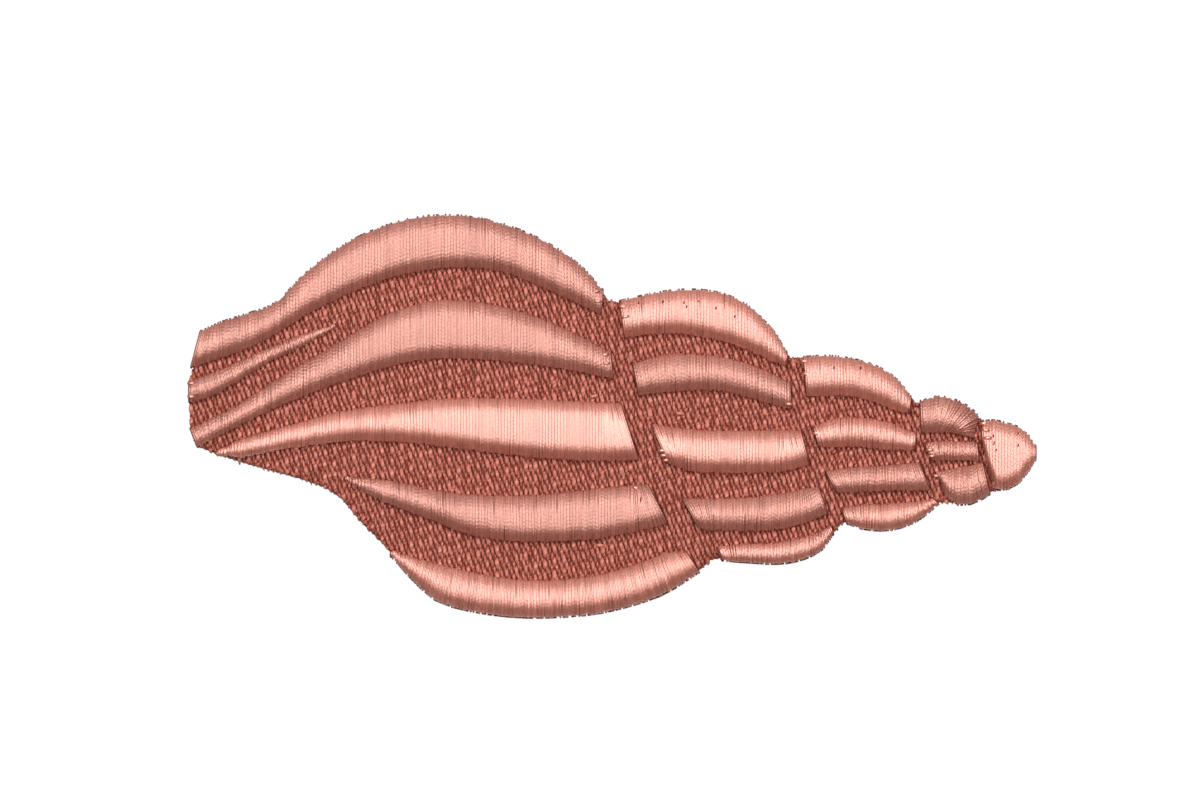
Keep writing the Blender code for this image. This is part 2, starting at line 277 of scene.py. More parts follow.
# Dark stubs along the patch's edge, in the underlay's colour as painted shade of its needle holes: the share
# of the stitches that have one beside them, its size and place, and which places of an arch it has
CREST_SHADE_TUFT_SHARE = 0.42
BASE_SHADE_TUFT_SHARE = 0.85
TUFT_OUT = 0.09
TUFT_LENGTH = 0.34
TUFT_LIFT = 0.6
TUFT_HALF_WIDTH = 0.13
TUFT_PLACES = [0, 2, 3, 5]

# Tone of the threads, from dark at 0 to light at 1, as mean and spread
SATIN_TONE = (0.5, 0.25)
FILL_TONE = (0.34, 0.25)

# Painted shade at the patch's edge: how much darker a satin thread is at its needle hole on the patch's edge,
# and at the places next to it, and how much darker the first and last stitches of a fill row are
CREST_EDGE_PAINTED_SHADE = [0.5, 0.4, 0.3, 0.0]
BASE_EDGE_PAINTED_SHADE = [0.0, 0.3, 0.7, 0.9, 1.0]
FILL_EDGE_PAINTED_SHADE = 0.35

# Thread and cloth colours, as dark and light of one thread
SATIN_COLOURS = np.array([(0.35, 0.103, 0.073), (0.66, 0.229, 0.168)])
# Per unit of gloss, how much a rib's base colour is lightened: painted highlight
PAINTED_HIGHLIGHT_PER_GLOSS = np.array([0.6, 0.45, 0.45])
FILL_COLOURS = ((0.28, 0.050, 0.022, 1.0), (0.78, 0.280, 0.212, 1.0))
# The underlay is painted far darker than the thread, as shade between the stitches
SHADE_UNDERLAY_COLOURS = ((0.12, 0.012, 0.006, 1.0), (0.26, 0.030, 0.016, 1.0))
CLOTH_COLOURS = ((0.72, 0.71, 0.69, 1.0), (0.82, 0.81, 0.79, 1.0))
BOBBIN_COLOURS = ((0.70, 0.69, 0.67, 1.0), (0.88, 0.87, 0.85, 1.0))

# Twist of a thread, and the fibres in its surface: how far they differ along a ply and from thread to thread,
# the scale and detail of their noise, how strongly it and the plies show, and the depth of both
PLY_LENGTH = 0.55
FIBRE_PER_PLY = 2.3
FIBRE_PER_TONE = 90.0
FIBRE_SCALE = 1.1
FIBRE_DETAIL = 3.0
FIBRE_CONTRAST = 4.5
PLY_CONTRAST = 0.10
THREAD_RELIEF = 0.03

# Fibres of a plain stuff: detail of their noise, and strength and depth of their relief
STUFF_DETAIL = 4.0
STUFF_BUMP = 0.5
STUFF_RELIEF = 0.05

# The camera looks straight down from its height in metres, and its view is this wide
VIEW_WIDTH = 180.0
VIEW_CENTRE = (-1.8, 2.4)
CAMERA_HEIGHT_M = 0.6
CLIP_M = (0.01, 10.0)

# Floor, in metres: how far it reaches, and how far below the patch it lies
FLOOR_REACH_M = 3.0
FLOOR_DROP_M = 0.0001

# Soft boxes that face the patch: place and size in metres, and watts
LIGHTS = {
    "key": ((0.0, 0.25, 0.76), (0.9, 0.82), 8.9),
    "base_side_fill": ((0.0, -0.30, 0.78), (0.9, 0.28), 0.75),
    "crest_side_fill": ((0.0, 0.75, 0.43), (0.9, 0.3), 0.35),
}
WORLD_STRENGTH = 0.07


# Materials

def add_node(tree, kind, **settings):
    made = tree.nodes.new(kind)
    for name, value in settings.items():
        setattr(made, name, value)
    return made


def new_material(name, **uniform):
    """A Principled material with the given sockets set, their names written with underscores."""
    material = bpy.data.materials.new(name)
    material.use_nodes = True
    shader = material.node_tree.nodes["Principled BSDF"]
    for socket, value in uniform.items():
        shader.inputs[socket.replace("_", " ")].default_value = value
    return material, material.node_tree, shader


def math_node(tree, operation, *values):
    """The output of a math node whose inputs are these numbers or linked sockets."""
    made = add_node(tree, "ShaderNodeMath", operation=operation)
    for socket, value in zip(made.inputs, values):
        if isinstance(value, (int, float)):
            socket.default_value = value
        else:
            tree.links.new(value, socket)
    return made.outputs[0]


def attribute(tree, name):
    return add_node(tree, "ShaderNodeAttribute", attribute_name=name).outputs["Fac"]


def mixed(tree, share, colours):
    mix = add_node(tree, "ShaderNodeMix", data_type="RGBA")
    tree.links.new(share, mix.inputs["Factor"])
    mix.inputs["A"].default_value, mix.inputs["B"].default_value = colours
    return mix.outputs["Result"]


def bumped(tree, shader, height, strength, distance):
    bump = add_node(tree, "ShaderNodeBump")
    bump.inputs["Strength"].default_value = strength
    bump.inputs["Distance"].default_value = distance
    tree.links.new(height, bump.inputs["Height"])
    tree.links.new(bump.outputs[0], shader.inputs["Normal"])


def noise(tree, vector, scale, detail):
    made = add_node(tree, "ShaderNodeTexNoise")
    made.inputs["Scale"].default_value = scale
    made.inputs["Detail"].default_value = detail
    tree.links.new(vector, made.inputs["Vector"])
    return made.outputs["Fac"]


def thread_material(name, colours, tone_swing, relief, **uniform):
    """Twisted thread: its tone differs from thread to thread, and its plies show as slanted bands."""
    material, tree, shader = new_material(name, **uniform)
    tone, ply = attribute(tree, "tone"), attribute(tree, "ply")
    wave = math_node(tree, "SINE", math_node(tree, "MULTIPLY", ply, 2 * math.pi))
    place = add_node(tree, "ShaderNodeCombineXYZ")
    tree.links.new(math_node(tree, "MULTIPLY", ply, FIBRE_PER_PLY), place.inputs["X"])
    tree.links.new(math_node(tree, "MULTIPLY", tone, FIBRE_PER_TONE), place.inputs["Y"])
    fibre = noise(tree, place.outputs[0], FIBRE_SCALE, FIBRE_DETAIL)
    speckle = math_node(tree, "MULTIPLY", fibre, FIBRE_CONTRAST)
    speckle = math_node(tree, "SUBTRACT", speckle, FIBRE_CONTRAST / 2)
    share = math_node(tree, "MULTIPLY", tone, tone_swing)
    share = math_node(tree, "ADD", share, math_node(tree, "MULTIPLY", wave, PLY_CONTRAST))
    share = math_node(tree, "ADD", share, math_node(tree, "MULTIPLY", speckle, 1.0 - tone_swing))
    share = math_node(tree, "ADD", share, (1.0 - tone_swing) / 2)
    tree.links.new(mixed(tree, share, colours), shader.inputs["Base Color"])
    bumped(tree, shader, math_node(tree, "ADD", wave, fibre), relief, THREAD_RELIEF * MM)
    return material


def fibrous_material(name, colours, scale, **uniform):
    """A plain fibrous stuff: fine noise in its colour and surface."""
    material, tree, shader = new_material(name, **uniform)
    coords = add_node(tree, "ShaderNodeTexCoord").outputs["Object"]
    fibre = noise(tree, coords, scale, STUFF_DETAIL)
    tree.links.new(mixed(tree, fibre, colours), shader.inputs["Base Color"])
    bumped(tree, shader, fibre, STUFF_BUMP, STUFF_RELIEF * MM)
    return material


def satin_material(gloss):
    """The rayon of a satin rib: the glossier thread's base colour is also lighter and redder, as painted
    highlight.
    """
    painted_highlight = 1.0 + gloss * PAINTED_HIGHLIGHT_PER_GLOSS
    colours = [tuple(np.minimum(colour * painted_highlight, 1.0)) + (1.0,) for colour in SATIN_COLOURS]
    return thread_material(
        "satin_thread_gloss_%d" % round(100 * gloss), colours, tone_swing=0.55, relief=0.35 - 0.2 * gloss,
        Roughness=0.38, Metallic=0.45, IOR=1.9, Specular_IOR_Level=1.0, Specular_Tint=(1.0, 0.98, 0.9, 1.0),
        Coat_Weight=gloss, Coat_Roughness=0.28, Coat_IOR=2.2, Coat_Tint=(1.0, 0.96, 0.88, 1.0),
    )


SATINS = {gloss: satin_material(gloss) for gloss in sorted({PLAIN_GLOSS_AND_PAINTED_HIGHLIGHT, *GLOSS_AND_PAINTED_HIGHLIGHT.values()})}
FILL = thread_material(
    "fill_thread_matt", FILL_COLOURS, tone_swing=0.5, relief=0.5,
    Roughness=0.5, Metallic=0.1, Specular_IOR_Level=0.3,
)
BOBBIN = thread_material("bobbin_thread_white", BOBBIN_COLOURS, tone_swing=0.6, relief=0.3, Roughness=0.55)
SHADE_UNDERLAY = fibrous_material("thread_underlay_painted_shade", SHADE_UNDERLAY_COLOURS, scale=2500.0, Roughness=0.7)
CLOTH = fibrous_material("ground_cloth_cotton", CLOTH_COLOURS, scale=3000.0, Roughness=0.9)


# Threads as closed tubes

# Places around a thread, in degrees from its right side: more of them where it shows
SHOWN_THREAD = np.radians([-90.0, 0.0, 45.0, 90.0, 135.0, 180.0])
BACK_THREAD = np.radians([-90.0, 0.0, 90.0, 180.0])


def unit(vectors):
    return vectors / np.linalg.norm(vectors, axis=-1, keepdims=True)


class Threads:
    """Closed bodies gathered into one mesh, with a tone and a ply phase at each vertex."""

    def __init__(self):
        self.points, self.faces, self.tone, self.ply, self.slots = [], [], [], [], []
        self.count = 0

    def gather(self, points, faces, tone, ply, slot):
        self.points.append(points.reshape(-1, 3))
        self.faces.append(faces)
        self.tone.append(np.broadcast_to(tone, points.shape[:-1]).reshape(-1))
        self.ply.append(np.broadcast_to(ply, points.shape[:-1]).reshape(-1))
        self.slots.append(np.full(len(faces), slot))
        self.count += points.size // 3

    def add(self, paths, half_width, half_height, tones, around=SHOWN_THREAD, slot=0):
        """A tube with a rounded section along each of the paths, which is (threads, places, 3). The tones
        are one for each thread, or one for each place of each thread."""
        threads, places, _ = paths.shape
        sides = len(around)
        ahead = unit(paths[:, -1, :2] - paths[:, 0, :2])
        across = np.stack([ahead[:, 1], -ahead[:, 0], np.zeros(threads)], axis=1)[:, None, :]
        upward = unit(np.cross(across, np.gradient(paths, axis=1)))
        half_width = np.broadcast_to(half_width, (threads, places))[:, :, None, None]
        points = (
            paths[:, :, None, :]
            + half_width * np.cos(around)[:, None] * across[:, :, None, :]
            + half_height * np.sin(around)[:, None] * upward[:, :, None, :]
        )
        steps = np.linalg.norm(np.diff(paths, axis=1), axis=2)
        along = np.concatenate([np.zeros((threads, 1)), np.cumsum(steps, axis=1)], axis=1)
        twist = np.arange(sides) / sides + RNG.random(threads)[:, None, None]
        ply = along[:, :, None] / PLY_LENGTH + twist
        index = self.count + np.arange(threads * places * sides).reshape(threads, places, sides)
        here, there = index[:, :-1], index[:, 1:]
        walls = np.stack([here, np.roll(here, -1, axis=2), np.roll(there, -1, axis=2), there], axis=3)
        faces = [walls.reshape(-1, 4)]
        for corner in range(3, sides, 2):
            quad = [0, corner - 2, corner - 1, corner]
            faces += [index[:, 0][:, quad[::-1]], index[:, -1][:, quad]]
        self.gather(points, np.concatenate(faces), tones.reshape(threads, -1, 1), ply, slot)

    def add_solid(self, rings):
        """A closed body from rings of equal length, for what the threads lie on."""
        rings = np.asarray(rings)
        count, sides, _ = rings.shape
        index = self.count + np.arange(count * sides).reshape(count, sides)
        here, there = index[:-1], index[1:]
        walls = np.stack([here, np.roll(here, -1, axis=1), np.roll(there, -1, axis=1), there], axis=2)
        faces = [walls.reshape(-1, 4)]
        half = sides // 2
        for ring, order in ((index[0], -1), (index[-1], 1)):
            back = ring[::-1]
            strips = np.stack([ring[:half - 1], ring[1:half], back[1:half], back[:half - 1]], axis=1)
            faces.append(strips[:, ::order])
        self.gather(rings, np.concatenate(faces), 0.0, 0.0, 1)

    def to_object(self, name, *materials):
        mesh = bpy.data.meshes.new(name)
        mesh.from_pydata(np.concatenate(self.points) * MM, [], np.concatenate(self.faces))
        for label, values in (("tone", self.tone), ("ply", self.ply)):
            layer = mesh.attributes.new(label, "FLOAT", "POINT")
            layer.data.foreach_set("value", np.concatenate(values).astype(np.float32))
        for material in materials:
            mesh.materials.append(material)
        mesh.polygons.foreach_set("material_index", np.concatenate(self.slots).astype(np.int32))
        mesh.shade_smooth()
        mesh.update()
        return placed(name, mesh)


def linked(name, data):
    obj = bpy.data.objects.new(name, data)
    bpy.context.scene.collection.objects.link(obj)
    return obj


def placed(name, mesh):
    obj = linked(name, mesh)
    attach(obj, "root")
    return obj


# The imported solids, cast against to find where the stitching goes

REACH = 100.0
CORNER_MARGIN = 0.04
RAIL_PLACES = 160
DOWN = Vector((0.0, 0.0, -1.0))


def solid_tree(*names):
    vertices, faces = [], []
    for name in names:
        mesh = frame["nodes"][name].data
        start = len(vertices)
        vertices += [v.co / MM for v in mesh.vertices]
        faces += [[start + i for i in face.vertices] for face in mesh.polygons]
    return BVHTree.FromPolygons(vertices, faces)


def side_y(tree, x, height, side):
    """Y at which a solid's crest (1) or base (-1) side stands at this X and height, or None."""
    hit = tree.ray_cast(Vector((x, side * REACH, height)), Vector((0.0, -side, 0.0)))[0]
    return None if hit is None else hit.y


def rail(tree, start_x, end_x, side):
    """A rib's crest or base rail as matching X and Y arrays."""
    xs = np.linspace(start_x + CORNER_MARGIN, end_x - CORNER_MARGIN, RAIL_PLACES)
    found = [(x, side_y(tree, x, RIB_LEVEL, side)) for x in xs]
    found = np.array([(x, y) for x, y in found if y is not None])
    return found[:, 0], found[:, 1]


def lies_under(tree, x, y):
    return tree.ray_cast(Vector((x, y, REACH)), DOWN)[0] is not None


FILL_TREE = solid_tree("tatami_fill")
RIBS_TREE = solid_tree(*END_CUTS)


# Satin ribs

# Places along a rib at which the lean of its stitches is worked out
LEAN_PLACES = 600


def smooth_step(t):
    t = np.clip(t, 0.0, 1.0)
    return t * t * (3 - 2 * t)


def pass_places(gone):
    """Distances of the paired passes, given how far each place along the rib is from the siphon end."""
    count = max(LEAST_PASSES, round(gone[-1] / PASS_PITCH))
    places = np.arange(count + 1, dtype=float)
    places[1:-1:2] += PAIRING
    return places / count * gone[-1]


def stitch_ends(name):
    """Each pass of thread over a rib as its crest and base ends, on the rails, from siphon end to apex."""
    tree = solid_tree(name)
    (crest_0, base_0), (crest_1, corner) = END_CUTS[name]
    base_1 = FAN_PIVOTS.get(name, corner)
    crest_rail = rail(tree, crest_0, crest_1, 1)
    base_rail = rail(tree, base_0, base_1, -1)
    middle_0, middle_1 = (crest_0 + base_0) / 2, (crest_1 + base_1) / 2
    middle = np.linspace(middle_0, middle_1, LEAN_PLACES)
    width = np.interp(middle, *crest_rail) - np.interp(middle, *base_rail)
    leans = np.array(LEANS.get(name, ((middle_0, 0.0),)))
    offset = width * np.tan(np.radians(np.interp(middle, leans[:, 0], leans[:, 1])))
    fan = min(FAN_LENGTH, FAN_MOST_SHARE * (middle_1 - middle_0))
    for cut, place in ((base_0 - crest_0, middle_0), (base_1 - crest_1, middle_1)):
        near = 1.0 - smooth_step(np.abs(middle - place) / fan)
        offset += (cut - offset) * near
    crest_x = np.clip(middle - offset / 2, crest_0, crest_1)
    base_x = np.clip(middle + offset / 2, base_0, base_1)
    # Where the stitches fan out, it is the wider side that sets how many there are
    widest_step = np.maximum(np.abs(np.diff(crest_x)), np.abs(np.diff(base_x)))
    gone = np.concatenate([[0.0], np.cumsum(widest_step)])
    wanted = pass_places(gone)
    crest_x, base_x = np.interp(wanted, gone, crest_x), np.interp(wanted, gone, base_x)
    crest = np.column_stack([crest_x, np.interp(crest_x, *crest_rail)])
    base = np.column_stack([base_x, np.interp(base_x, *base_rail)])
    if name in FAN_PIVOTS:
        corner_x = corner - CORNER_MARGIN
        return fanned(crest, base, np.array([corner_x, side_y(tree, corner_x, RIB_LEVEL, -1)]))
    return crest, base


def fanned(crest, base, corner):
    """The ends with more passes after them, from along the end cut to the last base end."""
    cut = corner - crest[-1]
    steps = np.linspace(0.0, 1.0, round(np.linalg.norm(cut) / PASS_PITCH))[1:-1, None]
    on_cut = crest[-1] + cut * steps
    return np.concatenate([crest, on_cut]), np.concatenate([base, np.repeat(base[-1:], len(steps), axis=0)])


def pulled_in(crest, base, inset):
    """The ends moved towards each other, so that the thread's own width ends at the rail."""
    width = np.linalg.norm(base - crest, axis=1)[:, None]
    along = unit(base - crest)
    inset = np.minimum(inset, INSET_MOST_SHARE * width)
    return crest + along * inset, base - along * inset


def end_share(distance, length=END_ROUND, least=END_HEIGHT_SHARE):
    """How much of the crown is left this far from a rib's end."""
    rise = np.sqrt(1.0 - (1.0 - np.clip(distance / length, 0.0, 1.0)) ** 2)
    return least + (1.0 - least) * rise


def crown_shares(name, crest, base):
    """How much of the crown is left at each pass."""
    middle = (crest + base) / 2
    gone = np.concatenate([[0.0], np.cumsum(np.linalg.norm(np.diff(middle, axis=0), axis=1))])
    share = end_share(np.minimum(gone, gone[-1] - gone))
    if name in FAN_PIVOTS:
        share = np.minimum(share, end_share(gone[-1] - gone, FAN_ROUND, FAN_HEIGHT_SHARE))
    return share


def dome_profile(width):
    """Distances across a rib of this width from its crest rail, and heights over its underside there."""
    fullness = min(width / FULL_WIDTH, 1.0)
    edge = RIB_EDGE * min(width / EDGE_FULL_WIDTH, 1.0)
    crest, base = CREST_SHOULDER * fullness, BASE_SHOULDER[::-1] * fullness
    tilt = CROWN_TILT * (width - crest[-1, 0] - base[0, 0])
    crest_edge = edge + base[0, 1] - tilt - crest[-1, 1]
    places = np.concatenate([crest[:, 0], width - base[:, 0]])
    return places, np.concatenate([crest_edge + crest[:, 1], edge + base[:, 1]])


def dome_height(across, width, share):
    """Height over the rib's underside at a share of the way from its crest rail to its base rail."""
    return share * np.interp(across * width, *dome_profile(width))


def satin_paths(crest, base, share, hole_crest, hole_base):
    """Thread paths over the dome, from the needle hole at one rail to the one at the other."""
    width = np.linalg.norm(base - crest, axis=1)
    places, rise = np.array([dome_profile(w) for w in width]).transpose(1, 0, 2)
    shifted = RNG.normal(0.0, SHOULDER_JITTER, len(places)) * np.minimum(width / FULL_WIDTH, 1.0)
    places = places + shifted[:, None] * np.sin(np.pi * places / width[:, None])
    plan = crest[:, None, :] + unit(base - crest)[:, None, :] * places[..., None]
    height = RIB_BOTTOM - SATIN_HALF_HEIGHT + share[:, None] * rise
    dome = np.concatenate([plan, height[..., None]], axis=2)
    start = np.column_stack([crest, hole_crest])[:, None, :]
    end = np.column_stack([base, hole_base])[:, None, :]
    return np.concatenate([start, dome, end], axis=1)


def hole_heights(points, outward):
    """How deep each thread dives: into the fill, or down to the cloth where the rail is the patch's edge."""
    outside = points + outward * EDGE_PROBE
    covered = np.array([lies_under(FILL_TREE, x, y) for x, y in outside])
    return np.where(covered, FILL_TOP - HOLE_IN_FILL, CLOTH_TOP - HOLE_IN_CLOTH)


def satin_core(threads, crest, base, share):
    """The padded core, just under the threads."""
    across = np.linspace(0.0, 1.0, CORE_PLACES)
    step = max(1, round(CORE_SPACING / PASS_PITCH))
    rings = []
    for i in np.unique(np.append(np.arange(0, len(crest), step), len(crest) - 1)):
        width = np.linalg.norm(base[i] - crest[i])
        plan = crest[i] + (base[i] - crest[i]) * across[:, None]
        height = np.maximum(dome_height(across, width, share[i]) - CORE_DEPTH, CORE_LEAST_HEIGHT)
        upper = np.column_stack([plan, RIB_BOTTOM + height])
        lower = np.column_stack([plan[::-1], np.full(len(across), FILL_TOP - CORE_FOOT)])
        rings.append(np.concatenate([upper, lower]))
    threads.add_solid(rings)


def arch_paths(places, lengths, heading, tops):
    """Short low arches over these places, each on its own height and at about this heading in degrees."""
    turned = np.radians(heading + RNG.normal(0.0, ARCH_TURN_SPREAD, len(places)))
    ahead = np.column_stack([np.cos(turned), np.sin(turned)]) * np.asarray(lengths)[:, None]
    plan = np.asarray(places)[:, None, :] + ARCH_ALONG[None, :, None] * ahead[:, None, :]
    height = np.asarray(tops)[:, None] + ARCH_RISE
    return np.concatenate([plan, height[..., None]], axis=2)


def dome_tops(crest, base, share, places):
    """Height of the threads at places on a rib, over the pass that goes nearest."""
    tops = []
    for place in np.asarray(places):
        reach = base - crest
        length = np.linalg.norm(reach, axis=1)
        across = np.clip(np.sum((place - crest) * reach, axis=1) / length ** 2, 0.05, 0.95)
        nearest = np.argmin(np.linalg.norm(crest + reach * across[:, None] - place, axis=1))
        tops.append(RIB_BOTTOM + dome_height(across[nearest], length[nearest], share[nearest]))
    return tops


def end_walls(crest, base, share):
    """The passes that close both ends of a rib, as further crest ends, base ends and shares of the crown."""
    ends = np.repeat([0, -1], len(END_WALL))
    inner = np.repeat([END_WALL_FROM, -1 - END_WALL_FROM], len(END_WALL))
    middle = (crest + base) / 2
    out = unit(middle[ends] - middle[inner]) * END_WALL_OUT
    return crest[ends] + out, base[ends] + out, share[ends] * np.tile(END_WALL, 2)


def edge_shade_tufts(threads, rail_points, outward, on_edge, share):
    """Dark stubs that poke out between the stitches along the patch's own edge: painted shade of its needle
    holes.
    """
    chosen = on_edge & (RNG.random(len(on_edge)) < share)
    if not chosen.any():
        return
    places, headings = rail_points[chosen] + outward[chosen] * TUFT_OUT, outward[chosen]
    degrees = np.degrees(np.arctan2(headings[:, 1], headings[:, 0]))
    lengths, tops = np.full(len(places), TUFT_LENGTH), np.full(len(places), CLOTH_TOP + TUFT_LIFT)
    tufts = arch_paths(places, lengths, degrees, tops)[:, TUFT_PLACES]
    threads.add(tufts, TUFT_HALF_WIDTH, SATIN_HALF_HEIGHT, np.zeros(len(tufts)), BACK_THREAD, slot=1)


def edge_painted_shade(crest_on_edge, base_on_edge):
    """Painted shade: how much darker each place of each pass is, near the ends that lie on the patch's own
    edge.
    """
    painted_shade = np.zeros((len(crest_on_edge), len(CREST_SHOULDER) + len(BASE_SHOULDER) + 2))
    painted_shade[crest_on_edge, :len(CREST_EDGE_PAINTED_SHADE)] = CREST_EDGE_PAINTED_SHADE
    painted_shade[base_on_edge, -len(BASE_EDGE_PAINTED_SHADE):] = BASE_EDGE_PAINTED_SHADE
    return painted_shade


def satin_passes(threads, crest, base, share):
    """The passes over a rib, the dark ones that close its ends as painted shade at the cut, and the dark
    tufts beside them on the edge as painted shade.
    """
    shown = len(crest)
    wall_crest, wall_base, wall_share = end_walls(crest, base, share)
    crest, base = np.concatenate([crest, wall_crest]), np.concatenate([base, wall_base])
    share = np.concatenate([share, wall_share])
    count = len(crest)
    to_crest = unit(crest - base)
    hole_crest, hole_base = hole_heights(crest, to_crest), hole_heights(base, -to_crest)
    crest_on_edge, base_on_edge = hole_crest < CLOTH_TOP, hole_base < CLOTH_TOP
    stagger = NEEDLE_STAGGER * (np.arange(count) % 2 - 0.5)[:, None]
    crest_out, base_out = stagger + RNG.normal(0.0, NEEDLE_JITTER, (2, count, 1))
    paths = satin_paths(
        crest + to_crest * crest_out, base - to_crest * base_out, share, hole_crest, hole_base)
    paths[:, 1:-1, 2] += RNG.normal(0.0, PASS_HEIGHT_JITTER, count)[:, None]
    tones = np.clip(RNG.normal(*SATIN_TONE, count), 0.0, 1.0)
    # Painted shade: threads are darker near their needle holes on the patch's edge
    tones = tones[:, None] - edge_painted_shade(crest_on_edge, base_on_edge)
    threads.add(paths[:shown], SATIN_HALF_WIDTH, SATIN_HALF_HEIGHT, tones[:shown])
    # The end walls are in the dark underlay material: painted shade at the cut
    threads.add(paths[shown:], SATIN_HALF_WIDTH, SATIN_HALF_HEIGHT, tones[shown:], slot=1)
    # Dark tufts along the edge: painted shade of the needle holes
    edge_shade_tufts(threads, crest, to_crest, crest_on_edge, CREST_SHADE_TUFT_SHARE)
    edge_shade_tufts(threads, base, -to_crest, base_on_edge, BASE_SHADE_TUFT_SHARE)


def tie_offs(threads, places, crest, base, share):
    places = np.array(places)
    tops = dome_tops(crest, base, share, places)
    knots = arch_paths(places, np.full(len(places), TIE_OFF_LENGTH), 0.0, tops)
    threads.add(knots, TIE_OFF_HALF_WIDTH, SATIN_HALF_HEIGHT, np.full(len(knots), TIE_OFF_TONE))


def dark_ends(threads, sizes, crest, base, share):
    x, y, lengths = np.array(sizes).T
    places = np.column_stack([x, y])
    dark = arch_paths(places, lengths, DARK_END_HEADING, dome_tops(crest, base, share, places))
    threads.add(dark, DARK_END_HALF_WIDTH, SATIN_HALF_HEIGHT, np.zeros(len(dark)), slot=1)


def satin_rib(name):
    """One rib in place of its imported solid. The crest and base ends of its passes are returned."""
    crest, base = pulled_in(*stitch_ends(name), RAIL_INSET)
    share = crown_shares(name, crest, base)
    threads = Threads()
    satin_core(threads, *pulled_in(crest, base, CORE_INSET), share)
    satin_passes(threads, crest, base, share)
    if name in TIE_OFFS:
        tie_offs(threads, TIE_OFFS[name], crest, base, share)
    if name in DARK_ENDS:
        dark_ends(threads, DARK_ENDS[name], crest, base, share)
    obj = threads.to_object("stitched_" + name, SATINS[GLOSS_AND_PAINTED_HIGHLIGHT.get(name, PLAIN_GLOSS_AND_PAINTED_HIGHLIGHT)], SHADE_UNDERLAY)
    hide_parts(name)
    return crest, base


def satin_bobbin(ends):
    """The white lower thread of the satin ribs, which shows on the cloth's back in the middle of each."""
    threads = Threads()
    height = SATIN_BOBBIN_HEIGHT + SATIN_BOBBIN_RISE
    for crest, base in ends:
        crest, base = crest[::2], base[::2]
        plan = crest[:, None, :] + (base - crest)[:, None, :] * SATIN_BOBBIN_ALONG[None, :, None]
        paths = np.concatenate([plan, np.broadcast_to(height, plan.shape[:2])[..., None]], axis=2)
        tones = RNG.random(len(paths))
        threads.add(paths, BOBBIN_HALF_WIDTH, BOBBIN_HALF_HEIGHT, tones, BACK_THREAD)
    obj = threads.to_object("satin_bobbin_thread", BOBBIN)


# Tatami fill

def whorl_of(points):
    """0 for the body whorl, then 1 and 2 towards the apex."""
    whorl = np.zeros(len(points), dtype=int)
    for (top_x, top_y), (low_x, low_y) in WHORL_SEAMS:
        seam_x = top_x + (top_y - points[:, 1]) * (low_x - top_x) / (top_y - low_y)
        whorl += points[:, 0] > seam_x
    return whorl


def fill_needles(x, row):
    """Y of each needle hole up one upright row, from the fill's lower edge to its upper one."""
    upper, lower = side_y(FILL_TREE, x, FILL_LEVEL, 1), side_y(FILL_TREE, x, FILL_LEVEL, -1)
    if upper is None or upper - lower < LEAST_ROW:
        return None
    inset = FILL_INSET + FILL_STAGGER * (row % 2)
    upper, lower = upper - inset, lower + inset
    first = math.ceil((lower + row * ROW_SHIFT) / STITCH_LENGTH)
    last = math.floor((upper + row * ROW_SHIFT) / STITCH_LENGTH)
    inner = [k * STITCH_LENGTH - row * ROW_SHIFT for k in range(first, last + 1)]
    inner = [y for y in inner if lower + LEAST_STITCH < y < upper - LEAST_STITCH]
    return np.array([lower] + inner + [upper])


def fill_rows():
    """Each upright row of the fill as its number, its X and its needle holes."""
    low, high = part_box("tatami_fill")
    for row in range(math.ceil(low.x / MM / ROW_PITCH), math.floor(high.x / MM / ROW_PITCH) + 1):
        x = row * ROW_PITCH
        needles = fill_needles(x, row)
        if needles is not None:
            yield row, x, needles


def fill_stitches():
    """Every fill stitch that the ribs don't hide, as X, lower Y, upper Y, row, and 1 at its row's ends."""
    found = []
    for row, x, needles in fill_rows():
        needles = needles + RNG.normal(0.0, FILL_NEEDLE_JITTER, len(needles))
        for i, (y0, y1) in enumerate(zip(needles, needles[1:])):
            hidden = all(lies_under(RIBS_TREE, x, y0 + (y1 - y0) * t) for t in HIDDEN_AT)
            if not hidden:
                found.append((x, y0, y1, row, i in (0, len(needles) - 2)))
    return np.array(found)


def fill_paths(stitches, proud):
    """Thread paths of the stitches, those of the proud rows higher."""
    x, y0, y1 = stitches.T[:3]
    place, rise, _ = FILL_ARCH.T
    along = y0[:, None] + (y1 - y0)[:, None] * place
    height = FILL_TOP - FILL_HALF_HEIGHT + rise + proud[:, None] * PROUD_BY * (rise > 0)
    height = height + RNG.normal(0.0, FILL_HEIGHT_JITTER, (len(x), 1))
    aside = RNG.normal(0.0, FILL_SIDE_JITTER, along.shape) + FILL_LEAN * (0.5 - place)
    return np.stack([x[:, None] + aside, along, height], axis=2)


def fill_ties(threads, places):
    lengths, tops = np.full(len(places), TIE_OFF_LENGTH), np.full(len(places), FILL_TOP + FILL_TIE_LIFT)
    arches = arch_paths(places, lengths, 0.0, tops)
    threads.add(arches, TIE_OFF_HALF_WIDTH, SATIN_HALF_HEIGHT, np.ones(len(places)))


